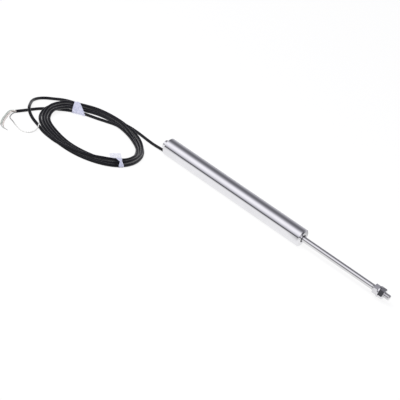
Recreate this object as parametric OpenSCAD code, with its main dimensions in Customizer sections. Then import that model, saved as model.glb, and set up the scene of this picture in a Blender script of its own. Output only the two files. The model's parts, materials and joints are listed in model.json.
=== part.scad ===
// Inductive displacement sensor (linear variable differential transformer)
// A polished round body holds three windings round a bore. A core on a push rod slides in that bore.
// The sensor lies on its side with its axis along +X, the rod to the right and the cable behind it.
// Stations are measured along the axis from the body's rear face.

/* [Housing] */
// Outside diameter of the body
body_d = 19; // [17:0.5:26]
// Length of the body from rear face to front face
body_len = 180; // [175:1:260]
// Wall of the housing tube
tube_wall = 0.8; // [0.5:0.1:1]
// Chamfer on the body's front and rear edges
edge_chamfer = 1.2; // [0.4:0.1:2]

/* [Front end] */
// Length of the front cap's full diameter head
front_head_len = 5; // [4:0.5:9]
// Front wall of the cap, in front of the wiper
front_wall = 3; // [2:0.5:5]
// Hole in the front face round the rod
rod_hole_d = 8.5; // [7:0.1:9.5]
// Length of the bush
bush_len = 12; // [8:0.5:16]
// Length of the wiper ring in front of the bush
wiper_len = 3; // [1.5:0.5:4]
// Thickness of the retaining ring behind the bush
retainer_t = 1; // [0.8:0.1:1.5]
// Radial width of the retaining ring that shows inside the bush seat
retainer_rim = 0.8; // [0.5:0.1:0.9]
// Radial room between the core and the retaining ring
retainer_room = 0.9; // [0.3:0.1:1.2]
// Depth of the groove for the retaining ring
groove_depth = 0.7; // [0.4:0.1:0.9]
// Lip of the cap behind the retaining ring
retainer_lip = 1; // [0.8:0.1:2]

/* [Rear end] */
// Length of the rear cap's full diameter head
rear_head_len = 8; // [6:0.5:12]
// Length of the rear cap's spigot inside the tube
rear_spigot_len = 6; // [5:0.5:10]
// Length of the boss on the rear face
boss_len = 4.5; // [2:0.5:8]
// Land between the boss and the cable hole
boss_land = 0.25; // [0.2:0.05:1.5]
// Chamfer on the boss
boss_chamfer = 0.6; // [0.2:0.1:1]
// Depth of the liner's seat in the rear cap
liner_seat = 5; // [3:0.5:5]
// Turn of the cable hole from the lowest point towards the front of the view, in degrees
cable_turn = 20; // [0:5:45]
// Length of the room for the cable's soldered ends
room_len = 12; // [10:0.5:16]

/* [Windings] */
// Radial thickness of the windings
winding_build = 2.2; // [2:0.1:2.6]
// Wall of the liner that the core runs in
liner_wall = 0.25; // [0.2:0.05:0.4]
// Wall of the bobbin's hub
hub_wall = 0.8; // [0.7:0.1:1.2]
// Thickness of the bobbin's flanges
flange_t = 2; // [1:0.1:3]
// Wall of the magnetic shield
shield_wall = 0.4; // [0.3:0.1:0.6]
// Depth of the windings below the bobbin's flanges
winding_depth = 0.6; // [0.5:0.1:1.2]
// Thickness of the wrap over each winding
wrap_t = 0.3; // [0.1:0.05:0.35]
// Length of the spacer between bobbin and front cap
front_spacer_len = 4; // [2:0.5:8]
// Wall of the slotted spacer behind the terminal ring
rear_spacer_wall = 0.9; // [0.5:0.1:1.5]
// Thickness of the terminal ring
terminal_t = 1.6; // [1:0.1:2.4]
// Diameter of the terminal pins
pin_d = 1; // [0.8:0.1:1.2]
// Reach of the terminal pins behind the terminal ring
pin_reach = 3; // [2:0.5:4]

/* [Armature] */
// Diameter of the push rod
rod_d = 6; // [5:0.1:6]
// Reach of the rod's tip from the front face
rod_reach = 105.5; // [80:0.5:160]
// Diameter over the thread at the rod's tip
thread_d = 5.9; // [4.5:0.1:5.9]
// Length of the thread at the rod's tip
thread_len = 20; // [19.5:0.5:30]
// Chamfer at the rod's tip
tip_chamfer = 0.8; // [0.3:0.1:1.2]
// Length of thread that stands free of the front nut
free_thread = 6.2; // [3:0.1:7]
// Radial wall of the core round the rod's tail
core_wall = 1.75; // [1.2:0.05:2.2]
// Length of the core
core_len = 60; // [40:1:70]
// Radial room between the core and the liner
core_room = 0.45; // [0.3:0.05:0.6]
// Length of the guide ring behind the core
guide_len = 5; // [3:0.5:8]
// Way that is left for the rod to come out further
travel_out = 4; // [1:0.5:10]

/* [Fasteners] */
// Width across the flats of the rod's nuts
nut_af = 10; // [9:0.5:13]
// Height of the rod's nuts
nut_h = 5.2; // [4:0.1:5.2]
// Turn of the rear nut's corner above the horizontal, in degrees
rear_nut_turn = 26; // [0:1:59]
// Turn of the front nut's corner above the horizontal, in degrees
front_nut_turn = 45; // [0:1:59]
// Outside diameter of the washer
washer_d = 12; // [10:0.5:16]
// Hole of the washer
washer_hole_d = 6.4; // [6.4:0.1:7]
// Thickness of the washer
washer_t = 1.6; // [1:0.1:2]
// Radial room between the liner and the corners of the lock nut on the rod's tail
lock_nut_room = 0.2; // [0.1:0.05:0.8]
// Height of the lock nut on the rod's tail
lock_nut_h = 3.2; // [2:0.1:4]

/* [Cable] */
// Diameter of the cable
cable_d = 3.2; // [2.4:0.1:3.2]
// Diameter of the conductors at the cable's free end
conductor_d = 1.1; // [0.8:0.1:1.2]
// Diameter of the conductors inside the body
inner_lead_d = 0.6; // [0.4:0.1:0.7]
// Wall of the ferrule that is crimped on the cable
ferrule_wall = 0.35; // [0.2:0.05:0.4]
// Length of the ferrule
ferrule_len = 3; // [2:0.5:3.5]
// Mean diameter of the coil
coil_mean_d = 107; // [90:1:120]
// Width of the coil's bundle
coil_w = 9.6; // [8:0.2:12]
// Height of the coil's bundle
coil_h = 6; // [5:0.2:8]
// Width of each tape tie round the bundle
tie_w = 6; // [4:0.5:9]
// Thickness of the tape
tape_t = 0.3; // [0.2:0.05:0.5]
// Length of the tape's loose ends
flag_len = 9; // [5:0.5:14]
// Width of the tape's loose ends
flag_w = 13; // [8:0.5:18]

/* [Fits] */
// Radial clearance of parts that slide or turn
running_gap = 0.03; // [0.01:0.01:0.08]
// Radial clearance of parts that are pushed together
seat_gap = 0.05; // [0.01:0.01:0.1]
// Clearance between faces that only meet at the end of the travel
stop_gap = 0.3; // [0.1:0.1:0.5]
// End clearance of the guide ring between core and lock nut
guide_end_gap = 0.15; // [0.05:0.05:0.3]

/* [Hidden] */
$fn = 64;

// Overrun of cutting tools past a face
cut = 1;

// The body's axis and the rear face in the part's frame, with the origin below the middle of its length
axis_z = body_d / 2;
rear_x = boss_len - (boss_len + body_len + rod_reach) / 2;

// Radii from the outside in
tube_r_in = body_d / 2 - tube_wall;
lining_r = tube_r_in - seat_gap;
shield_r_in = lining_r - shield_wall;
flange_r = shield_r_in - seat_gap;
winding_r = flange_r - winding_depth;
hub_r = winding_r - winding_build - seat_gap;
hub_r_in = hub_r - hub_wall;
liner_r = hub_r_in - seat_gap;
bore_r = liner_r - liner_wall;
core_r = bore_r - core_room;
tail_d = 2 * (core_r - core_wall - seat_gap);
guide_r = bore_r - running_gap;
lock_nut_af = 2 * (bore_r - lock_nut_room) * cos(30);
bush_r = core_r + retainer_room + retainer_rim;

// Stations of the rear end
rear_inside = rear_head_len + rear_spigot_len;
liner_start = rear_inside - liner_seat;
terminal_start = rear_inside + room_len;
bobbin_start = terminal_start + terminal_t;
pin_start = terminal_start - pin_reach;
sheath_end = rear_inside + ferrule_len + 1;

// Stations of the front end
wiper_end = body_len - front_wall;
bush_end = wiper_end - wiper_len;
bush_start = bush_end - bush_len;
retainer_start = bush_start - retainer_t;
front_inside = retainer_start - retainer_lip;
front_head_start = body_len - front_head_len;
bobbin_end = front_inside - front_spacer_len;

// The three winding rooms between four flanges
section_len = (bobbin_end - bobbin_start - 4 * flange_t) / 3;
function section_start(i) = bobbin_start + flange_t + i * (section_len + flange_t);

// Stations of the armature, with the rod near the end of its way out
core_end = bush_start - stop_gap - travel_out;
core_start = core_end - core_len;
guide_start = core_start - guide_end_gap - guide_len;
lock_nut_end = guide_start - guide_end_gap;
tail_start = lock_nut_end - lock_nut_h;
rod_tip = body_len + rod_reach;
thread_start = rod_tip - thread_len;
front_nut_start = rod_tip - free_thread - nut_h;
washer_start = front_nut_start - washer_t;
rear_nut_start = washer_start - nut_h;

// The cable hole in the middle of the ring shaped room between liner and tube
cable_offset = (tube_r_in + liner_r) / 2;
boss_r = cable_offset - cable_d / 2 - boss_land;
exit_y = -cable_offset * sin(cable_turn);
exit_z = axis_z - cable_offset * cos(cable_turn);
near_pin_turn = 26;
far_pin_turn = 62;
pin_turns = [-far_pin_turn, -near_pin_turn, near_pin_turn, far_pin_turn];

// The coil's centre from the rear face, and where its two ties sit
coil_centre = [-52, -63];
coil_mean_r = coil_mean_d / 2;
bundle_round = 2.4;
coil_lift = tape_t + seat_gap;
far_tie_turn = 151;
near_tie_turn = -20;

// Routes on the floor, from the rear face, chosen by eye
lead_route = [
  [-8, -2, 2.7], [-16, -1.2, 1.9], [-24, -0.4, 1.6], [-33, 0.5, 1.6], [-42, 1.2, 1.6],
  [-51, 0.8, 1.6], [-60, -1.6, 1.6], [-67.5, -4.8, 1.6], [-74.2, -8.6, 1.6], [-80.5, -13, 1.6],
  [-86, -17.5, 1.6]
];
loop_route = [
  [-93.5, -29, 5], [-102.2, -29, 5.2], [-108.5, -35, 5.4], [-114, -42, 5.4], [-122, -48, 3],
  [-128, -57, 1.8], [-129.3, -68, 1.6], [-126.8, -77.5, 2], [-122, -85.5, 3], [-116.5, -93.5, 4.5],
  [-111.5, -99.8, 5.1], [-105, -104.8, 4], [-97, -108, 2.3], [-89, -110.4, 1.7], [-82, -113, 1.6],
  [-74, -116, 1.6], [-67.5, -118.4, 1.6]
];
tail_route = [
  [-108.5, -69, 1.6], [-110.5, -76, 1.6], [-112, -84, 1.6], [-112.8, -92, 1.6], [-113.3, -100, 1.6],
  [-113.9, -108, 1.6], [-114.5, -115.6, 1.6]
];
white_route = [
  [-113.9, -115.9, 1.1], [-113.6, -119.2, 0.8], [-111, -126, 0.6], [-107.6, -130.6, 0.6],
  [-101.1, -133.1, 0.6], [-92, -136.8, 0.6], [-86.1, -138.2, 0.6], [-81.9, -137, 0.6], [-79.2, -133.3, 0.6],
  [-78.5, -127.6, 0.9], [-79.2, -121.5, 2.2], [-81.6, -116.8, 3.6], [-84.6, -113, 4]
];
grey_route = [
  [-115.2, -115.9, 1], [-116.2, -120, 0.8], [-114, -127.3, 0.6], [-111, -133.2, 0.6],
  [-107.4, -139.8, 0.6], [-103.3, -145.8, 0.6], [-99.5, -150.6, 0.6], [-95.6, -154, 0.6],
  [-92.4, -153.6, 0.6]
];
green_route = [
  [-115.3, -115.9, 2.25], [-117.4, -120.4, 1.7], [-115.2, -128, 0.7], [-112.1, -133.9, 0.6],
  [-108.5, -140.5, 0.6], [-104.4, -146.5, 0.6], [-100.8, -151.2, 0.6]
];
red_route = [
  [-113.9, -115.9, 2.3], [-115.1, -120, 2.3], [-112.9, -126.8, 1.1], [-109.9, -132.5, 0.6],
  [-106.3, -139.1, 0.6], [-102.2, -145.1, 0.6], [-98.6, -149.5, 0.6], [-96.5, -151.4, 0.6]
];

// Sweep of an eight sided tube along a route
tube_sides = 8;
function unit(v) = v / norm(v);
function along(route, i) = unit(route[min(i + 1, len(route) - 1)] - route[max(i - 1, 0)]);
function across(t) = unit(cross([0, 0, 1], t));
function ring_points(route, i, r) =
  let (t = along(route, i), side = across(t), up = cross(t, side))
  [for (k = [0:tube_sides - 1]) let (a = 360 * k / tube_sides)
    route[i] + r * (cos(a) * side + sin(a) * up)];
function start_cap() = [for (k = [0:tube_sides - 1]) k];
function end_cap(first) = [for (k = [tube_sides - 1:-1:0]) first + k];
function wall_face(i, k) =
  let (j = (k + 1) % tube_sides, a = i * tube_sides, b = a + tube_sides)
  [a + k, b + k, b + j, a + j];

module cord(route, d) {
  last = len(route) - 1;
  points = [for (i = [0:last]) each ring_points(route, i, d / 2)];
  walls = [for (i = [0:last - 1]) for (k = [0:tube_sides - 1]) wall_face(i, k)];
  translate([rear_x, 0, 0])
    polyhedron(points, concat([start_cap()], walls, [end_cap(last * tube_sides)]), convexity = 8);
}

// Puts a turned shape, drawn along +Z, on the body's axis at a station
module on_axis(station) {
  translate([rear_x + station, 0, axis_z])
    rotate([0, 90, 0])
      children();
}

// Place on a circle round the axis, counted from the lowest point
module at_turn(radius, turn) {
  translate([radius * cos(turn), -radius * sin(turn), 0])
    children();
}

module ring(r, r_in, h) {
  difference() {
    cylinder(r = r, h = h);
    translate([0, 0, -cut])
      cylinder(r = r_in, h = h + 2 * cut);
  }
}

// Ring with its edges broken
module bevelled_ring(r, r_in, h, bevel) {
  rotate_extrude()
    polygon([
      [r_in, 0], [r - bevel, 0], [r, bevel], [r, h - bevel], [r - bevel, h], [r_in, h]
    ]);
}

// Hexagon nut with both faces turned down to a round edge
module hex_nut(across_flats, r_in, h) {
  corner_r = across_flats / 2 / cos(30);
  face_r = 0.95 * across_flats / 2;
  drop = (corner_r - face_r) * tan(30);
  difference() {
    intersection() {
      cylinder(r = corner_r, h = h, $fn = 6);
      rotate_extrude()
        polygon([[0, 0], [face_r, 0], [corner_r, drop], [corner_r, h - drop], [face_r, h], [0, h]]);
    }
    translate([0, 0, -cut])
      cylinder(r = r_in, h = h + 2 * cut);
  }
}

// Straight piece of wire between two points
module wire(from, to, d) {
  run = to - from;
  translate(from)
    rotate([0, acos(run.z / norm(run)), atan2(run.y, run.x)])
      cylinder(d = d, h = norm(run), $fn = 24);
}

module rounded_bar(w, h, r) {
  square([w - 2 * r, h], center = true);
  square([w, h - 2 * r], center = true);
  for (x = [-1, 1], y = [-1, 1])
    translate([x * (w / 2 - r), y * (h / 2 - r)])
      circle(r = r);
}

// Section of the coil's bundle, grown by a distance all round
module bundle_section(grow) {
  translate([coil_mean_r, coil_lift + coil_h / 2])
    rounded_bar(coil_w + 2 * grow, coil_h + 2 * grow, bundle_round + grow);
}

module at_coil() {
  translate([rear_x + coil_centre.x, coil_centre.y, 0])
    children();
}

module winding(section) {
  on_axis(section_start(section) + seat_gap)
    ring(winding_r, hub_r + seat_gap, section_len - 2 * seat_gap);
}

// Band of tape round the bundle, with its ends stuck together as a flag inside the coil
module tape_tie(turn) {
  band_angle = 360 * tie_w / (PI * coil_mean_d);
  flag_start = coil_mean_r - coil_w / 2 - seat_gap;
  flag_z = coil_lift + coil_h / 2;
  at_coil()
    rotate([0, 0, turn]) {
      rotate([0, 0, -band_angle / 2])
        rotate_extrude(angle = band_angle)
          difference() {
            bundle_section(seat_gap + tape_t);
            bundle_section(seat_gap);
          }
      translate([flag_start, 0, flag_z])
        linear_extrude(tape_t)
          polygon([[0, -tie_w / 2], [0, tie_w / 2], [-flag_len, flag_w / 2], [-flag_len, -flag_w / 2]]);
    }
}

module housing_tube() {
  color("gainsboro")
    on_axis(rear_head_len)
      ring(body_d / 2, tube_r_in, front_head_start - rear_head_len);
}

module front_cap() {
  r = body_d / 2;
  color("gainsboro")
    on_axis(0)
      rotate_extrude()
        polygon([
          [bush_r, front_inside], [lining_r, front_inside],
          [lining_r, front_head_start], [r, front_head_start],
          [r, body_len - edge_chamfer], [r - edge_chamfer, body_len],
          [rod_hole_d / 2, body_len], [rod_hole_d / 2, wiper_end], [bush_r, wiper_end],
          [bush_r, bush_start], [bush_r + groove_depth, bush_start],
          [bush_r + groove_depth, retainer_start], [bush_r, retainer_start]
        ]);
}

module front_bush() {
  color("dimgray")
    on_axis(bush_start)
      bevelled_ring(bush_r - seat_gap, rod_d / 2 + running_gap, bush_len, 0.5);
}

module rod_wiper() {
  color("black")
    on_axis(bush_end)
      ring(bush_r - seat_gap, rod_d / 2 + seat_gap, wiper_len);
}

module bush_retaining_ring() {
  mouth = bush_r;
  color("slategray")
    on_axis(retainer_start)
      difference() {
        ring(bush_r + groove_depth - seat_gap, bush_r - retainer_rim, retainer_t);
        translate([0, -mouth / 2, -cut])
          cube([2 * bush_r, mouth, retainer_t + 2 * cut]);
      }
}

module bore_liner() {
  color("silver")
    on_axis(liner_start)
      ring(liner_r, bore_r, front_inside - liner_start);
}

module bobbin() {
  color("ivory")
    on_axis(bobbin_start)
      difference() {
        union() {
          cylinder(r = hub_r, h = bobbin_end - bobbin_start);
          for (i = [0:3])
            translate([0, 0, i * (section_len + flange_t)])
              cylinder(r = flange_r, h = flange_t);
        }
        translate([0, 0, -cut])
          cylinder(r = hub_r_in, h = bobbin_end - bobbin_start + 2 * cut);
      }
}

module rear_secondary_winding() {
  color("peru")
    winding(0);
}

module primary_winding() {
  color("chocolate")
    winding(1);
}

module front_secondary_winding() {
  color("peru")
    winding(2);
}

module winding_wraps() {
  color("gold")
    for (i = [0:2])
      on_axis(section_start(i) + seat_gap)
        ring(winding_r + seat_gap + wrap_t, winding_r + seat_gap, section_len - 2 * seat_gap);
}

module magnetic_shield() {
  color("lightslategray")
    on_axis(bobbin_start)
      ring(lining_r, shield_r_in, bobbin_end - bobbin_start);
}

module front_spacer() {
  color("whitesmoke")
    on_axis(bobbin_end)
      ring(lining_r, liner_r + seat_gap, front_spacer_len);
}

// Slotted sleeve that holds the terminal ring off the rear cap and leaves the cable its way in
module rear_spacer() {
  slot_w = cable_d + 2 * ferrule_wall + 2 * stop_gap;
  color("whitesmoke")
    on_axis(rear_inside)
      difference() {
        ring(lining_r, lining_r - rear_spacer_wall, room_len);
        rotate([0, 0, -cable_turn])
          translate([0, -slot_w / 2, -cut])
            cube([body_d, slot_w, room_len + 2 * cut]);
      }
}

module terminal_ring() {
  color("seagreen")
    on_axis(terminal_start)
      difference() {
        ring(lining_r, liner_r + seat_gap, terminal_t);
        for (turn = pin_turns)
          at_turn(cable_offset, cable_turn + turn)
            translate([0, 0, -cut])
              cylinder(d = pin_d + 2 * seat_gap, h = terminal_t + 2 * cut);
      }
}

module terminal_pins() {
  color("gold")
    on_axis(pin_start)
      for (turn = pin_turns)
        at_turn(cable_offset, cable_turn + turn)
          cylinder(d = pin_d, h = pin_reach + terminal_t);
}

// Four short leads fan out from the cable's end to the pins
module inner_leads() {
  spread = cable_d / 4;
  first = sheath_end + stop_gap;
  last = pin_start - stop_gap;
  color("lightyellow")
    on_axis(0)
      rotate([0, 0, -cable_turn])
        for (side = [-1, 1]) {
          wire(
            [cable_offset + spread, side * spread, first],
            [cable_offset * cos(near_pin_turn), side * cable_offset * sin(near_pin_turn), last],
            inner_lead_d
          );
          wire(
            [cable_offset - spread, side * spread, first],
            [cable_offset * cos(far_pin_turn), side * cable_offset * sin(far_pin_turn), last],
            inner_lead_d
          );
        }
}

module rear_cap() {
  r = body_d / 2;
  color("gainsboro")
    on_axis(0)
      difference() {
        rotate_extrude()
          polygon([
            [0, -boss_len], [boss_r - boss_chamfer, -boss_len],
            [boss_r, boss_chamfer - boss_len], [boss_r, 0],
            [r - edge_chamfer, 0], [r, edge_chamfer], [r, rear_head_len], [lining_r, rear_head_len],
            [lining_r, rear_inside], [liner_r + seat_gap, rear_inside],
            [liner_r + seat_gap, liner_start], [0, liner_start]
          ]);
        at_turn(cable_offset, cable_turn)
          translate([0, 0, -cut])
            cylinder(d = cable_d + 2 * seat_gap, h = rear_inside + 2 * cut);
      }
}

module cable_ferrule() {
  color("darkgray")
    on_axis(rear_inside)
      at_turn(cable_offset, cable_turn)
        ring(cable_d / 2 + ferrule_wall, cable_d / 2 + seat_gap, ferrule_len);
}

module cable_lead() {
  inside = [for (x = [sheath_end, rear_head_len, 0]) [x, exit_y, exit_z]];
  color([0.10, 0.10, 0.11])
    cord(concat(inside, lead_route), cable_d);
}

module cable_coil() {
  color([0.10, 0.10, 0.11])
    at_coil()
      rotate_extrude()
        bundle_section(0);
}

module cable_loop() {
  color([0.10, 0.10, 0.11])
    cord(loop_route, cable_d);
}

module cable_tail() {
  color([0.10, 0.10, 0.11])
    cord(tail_route, cable_d);
}

module far_tape_tie() {
  color([0.86, 0.86, 0.92])
    tape_tie(far_tie_turn);
}

module near_tape_tie() {
  color([0.86, 0.86, 0.92])
    tape_tie(near_tie_turn);
}

module white_conductor() {
  color([0.92, 0.92, 0.90])
    cord(white_route, conductor_d);
}

module grey_conductor() {
  color([0.62, 0.62, 0.62])
    cord(grey_route, conductor_d);
}

module green_conductor() {
  color([0.62, 0.68, 0.63])
    cord(green_route, conductor_d);
}

module red_conductor() {
  color([0.74, 0.62, 0.60])
    cord(red_route, conductor_d);
}

module core_guide_ring() {
  color("white")
    on_axis(guide_start)
      bevelled_ring(guide_r, tail_d / 2 + running_gap, guide_len, 0.4);
}

module push_rod() {
  rod_r = rod_d / 2;
  thread_r = thread_d / 2;
  color("lightgray")
    on_axis(0)
      rotate_extrude()
        polygon([
          [0, tail_start], [tail_d / 2, tail_start], [tail_d / 2, core_end], [rod_r, core_end],
          [rod_r, thread_start], [thread_r, thread_start], [thread_r, rod_tip - tip_chamfer],
          [thread_r - tip_chamfer, rod_tip], [0, rod_tip]
        ]);
}

module core() {
  color("darkslategray")
    on_axis(core_start)
      bevelled_ring(core_r, tail_d / 2 + seat_gap, core_len, 0.3);
}

module core_lock_nut() {
  color("silver")
    on_axis(tail_start)
      hex_nut(lock_nut_af, tail_d / 2 + seat_gap, lock_nut_h);
}

// Nut on the rod's thread, with one corner a given turn above the horizontal
module rod_nut(station, turn) {
  on_axis(station)
    rotate([0, 0, -90 - turn])
      hex_nut(nut_af, thread_d / 2 + seat_gap, nut_h);
}

module rear_rod_nut() {
  color("silver")
    rod_nut(rear_nut_start, rear_nut_turn);
}

// The washer hangs on the thread by its hole
module rod_washer() {
  drop = (washer_hole_d - thread_d) / 2 - seat_gap;
  color("lightgray")
    translate([0, 0, -drop])
      on_axis(washer_start)
        bevelled_ring(washer_d / 2, washer_hole_d / 2, washer_t, 0.2);
}

module front_rod_nut() {
  color("silver")
    rod_nut(front_nut_start, front_nut_turn);
}

housing_tube();
front_cap();
front_bush();
rod_wiper();
bush_retaining_ring();
bore_liner();
bobbin();
primary_winding();
front_secondary_winding();
rear_secondary_winding();
winding_wraps();
magnetic_shield();
front_spacer();
rear_spacer();
terminal_ring();
terminal_pins();
inner_leads();
rear_cap();
cable_ferrule();
cable_lead();
cable_coil();
cable_loop();
cable_tail();
far_tape_tie();
near_tape_tie();
white_conductor();
grey_conductor();
green_conductor();
red_conductor();
core_guide_ring();
push_rod();
core();
core_lock_nut();
rear_rod_nut();
rod_washer();
front_rod_nut();
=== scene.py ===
"""Looks of a displacement sensor that lies on a pale floor beside its own coiled cable.

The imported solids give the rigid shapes. This script lays the cable and its bared wires, ties the coil with tape,
cuts the thread of the push rod and dresses every surface.
"""

import json
import logging
import math
from collections.abc import Iterator
from contextlib import contextmanager
from dataclasses import dataclass, field
from enum import Enum

import bpy
from mathutils import Matrix, Vector


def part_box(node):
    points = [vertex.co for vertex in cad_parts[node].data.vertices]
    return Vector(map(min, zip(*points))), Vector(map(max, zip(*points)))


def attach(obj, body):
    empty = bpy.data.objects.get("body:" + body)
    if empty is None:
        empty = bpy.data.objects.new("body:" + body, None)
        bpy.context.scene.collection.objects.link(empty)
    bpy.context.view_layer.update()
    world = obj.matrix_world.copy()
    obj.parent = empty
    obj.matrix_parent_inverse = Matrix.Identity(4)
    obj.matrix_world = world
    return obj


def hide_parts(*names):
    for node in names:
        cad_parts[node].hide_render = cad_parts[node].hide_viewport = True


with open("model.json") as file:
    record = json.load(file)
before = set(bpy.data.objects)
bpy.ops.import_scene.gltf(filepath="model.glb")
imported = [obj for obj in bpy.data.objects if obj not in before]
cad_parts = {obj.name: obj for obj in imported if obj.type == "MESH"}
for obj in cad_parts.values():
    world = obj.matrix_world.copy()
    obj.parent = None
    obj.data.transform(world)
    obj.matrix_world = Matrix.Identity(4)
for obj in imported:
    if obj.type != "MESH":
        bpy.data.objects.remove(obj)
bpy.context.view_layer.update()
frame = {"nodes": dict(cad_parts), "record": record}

LOG = logging.getLogger("sensor")
MM = 0.001
SAME_PLACE = 1e-6
BOSS_LENGTH = 4.5 * MM
REAR_FACE_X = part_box("rear_cap")[0][0] + BOSS_LENGTH
AXIS_Z = (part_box("housing_tube")[0][2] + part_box("housing_tube")[1][2]) / 2

Point = tuple[float, float, float]
Pair = tuple[float, float]
Socket = bpy.types.NodeSocket


class Body(Enum):
    """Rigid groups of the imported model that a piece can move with."""

    HOUSING = "housing"
    ARMATURE = "armature"


def from_rear(point: Point) -> Vector:
    """Turns a point in millimetres from the rear face and above the floor into metres in the model's frame."""
    return Vector((REAR_FACE_X + point[0] * MM, point[1] * MM, point[2] * MM))


def smooth_step(start: float, end: float, value: float) -> float:
    """Eases from 0, where a value is at the start or before it, to 1, where it is at the end or past it."""
    share = min(1.0, max(0.0, (value - start) / (end - start)))
    return share * share * (3 - 2 * share)


class Bench:
    """Modelling operators that several pieces share."""

    @staticmethod
    def clear_selection() -> None:
        """Deselects every object."""
        bpy.ops.object.select_all(action="DESELECT")

    @staticmethod
    def take(name: str) -> bpy.types.Object:
        """Names the object that was added last.

        Args:
            name: Name for the object and its mesh.

        Returns:
            That object.
        """
        piece = bpy.context.object
        piece.name = name
        piece.data.name = name
        return piece

    @staticmethod
    def settle(piece: bpy.types.Object) -> None:
        """Moves an object's place, turn and scale into its mesh.

        Args:
            piece: Object to settle at the origin.
        """
        Bench.clear_selection()
        piece.select_set(True)
        bpy.context.view_layer.objects.active = piece
        bpy.ops.object.transform_apply(location=True, rotation=True, scale=True)

    @staticmethod
    def apply_modifiers(piece: bpy.types.Object) -> None:
        """Applies all modifiers of an object in order.

        Args:
            piece: Object whose modifiers become part of its mesh.
        """
        bpy.context.view_layer.objects.active = piece
        for name in [modifier.name for modifier in piece.modifiers]:
            bpy.ops.object.modifier_apply(modifier=name)

    @staticmethod
    @contextmanager
    def editing() -> Iterator[None]:
        """Opens the active object in edit mode with all of it selected, and closes it again."""
        bpy.ops.object.mode_set(mode="EDIT")
        bpy.ops.mesh.select_all(action="SELECT")
        yield
        bpy.ops.object.mode_set(mode="OBJECT")

    @staticmethod
    def select_end(piece: bpy.types.Object, direction: float) -> None:
        """Selects the faces at one end of a turned piece, in edit mode.

        Args:
            piece: Piece that lies along X.
            direction: 1 for the end towards +X, -1 for the other.
        """
        bpy.ops.object.mode_set(mode="OBJECT")
        mesh = piece.data
        for parts in (mesh.polygons, mesh.edges, mesh.vertices):
            parts.foreach_set("select", [False] * len(parts))
        reach = max(vertex.co.x * direction for vertex in mesh.vertices)
        for polygon in mesh.polygons:
            nearest = min(mesh.vertices[i].co.x * direction for i in polygon.vertices)
            polygon.select = nearest > reach - SAME_PLACE
        bpy.ops.object.mode_set(mode="EDIT")
        bpy.ops.mesh.select_mode(type="FACE")

    @staticmethod
    def curve(name: str, points: list[Vector], diameter: float, round_steps: int) -> bpy.types.Object:
        """Lays one smooth open curve with a round section through points.

        Args:
            name: Name of the piece.
            points: Places that the centreline passes, in the model's frame.
            diameter: Diameter of the section.
            round_steps: Resolution of the section.

        Returns:
            The curve object.
        """
        data = bpy.data.curves.new(name, "CURVE")
        data.dimensions = "3D"
        data.resolution_u = 6
        data.bevel_depth = diameter / 2
        data.bevel_resolution = round_steps
        data.use_fill_caps = True
        spline = data.splines.new("BEZIER")
        spline.bezier_points.add(len(points) - 1)
        for knot, place in zip(spline.bezier_points, points):
            knot.co = place
            knot.handle_left_type = "AUTO"
            knot.handle_right_type = "AUTO"
        spline.use_smooth = True
        piece = bpy.data.objects.new(name, data)
        bpy.context.scene.collection.objects.link(piece)
        return piece


class Nodes:
    """Node tree of a material or of the room, with the steps that both are built from."""

    def __init__(self, tree: bpy.types.NodeTree) -> None:
        """Takes the tree that the nodes go into."""
        self.tree = tree

    def node(self, kind: str) -> bpy.types.Node:
        """Adds a shader node of one kind."""
        return self.tree.nodes.new(f"ShaderNode{kind}")

    def link(self, source: Socket, target: Socket) -> None:
        """Joins two sockets."""
        self.tree.links.new(source, target)

    def parts(self, coordinates: str = "Object") -> bpy.types.bpy_prop_collection:
        """Splits coordinates into their X, Y and Z sockets."""
        place, parts = self.node("TexCoord"), self.node("SeparateXYZ")
        self.link(place.outputs[coordinates], parts.inputs[0])
        return parts.outputs

    def reckon(self, operation: str, *values: Socket | float) -> Socket:
        """Does one piece of arithmetic.

        Args:
            operation: What is done.
            values: Sockets or numbers that it is done with.

        Returns:
            The socket with the result.
        """
        sum_node = self.node("Math")
        sum_node.operation = operation
        for value, target in zip(values, sum_node.inputs):
            if isinstance(value, Socket):
                self.link(value, target)
            else:
                target.default_value = value
        return sum_node.outputs[0]

    def spread(self, factor: Socket, low: float, high: float, span: Pair = (0.0, 1.0)) -> Socket:
        """Maps a pattern to a range of numbers.

        Args:
            factor: Pattern to map.
            low: Number below the span.
            high: Number above the span.
            span: Pattern values between which the number changes.

        Returns:
            The socket with the number.
        """
        mapped = self.node("MapRange")
        for name, value in zip(("From Min", "From Max", "To Min", "To Max"), (*span, low, high)):
            mapped.inputs[name].default_value = value
        self.link(factor, mapped.inputs["Value"])
        return mapped.outputs["Result"]


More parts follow.
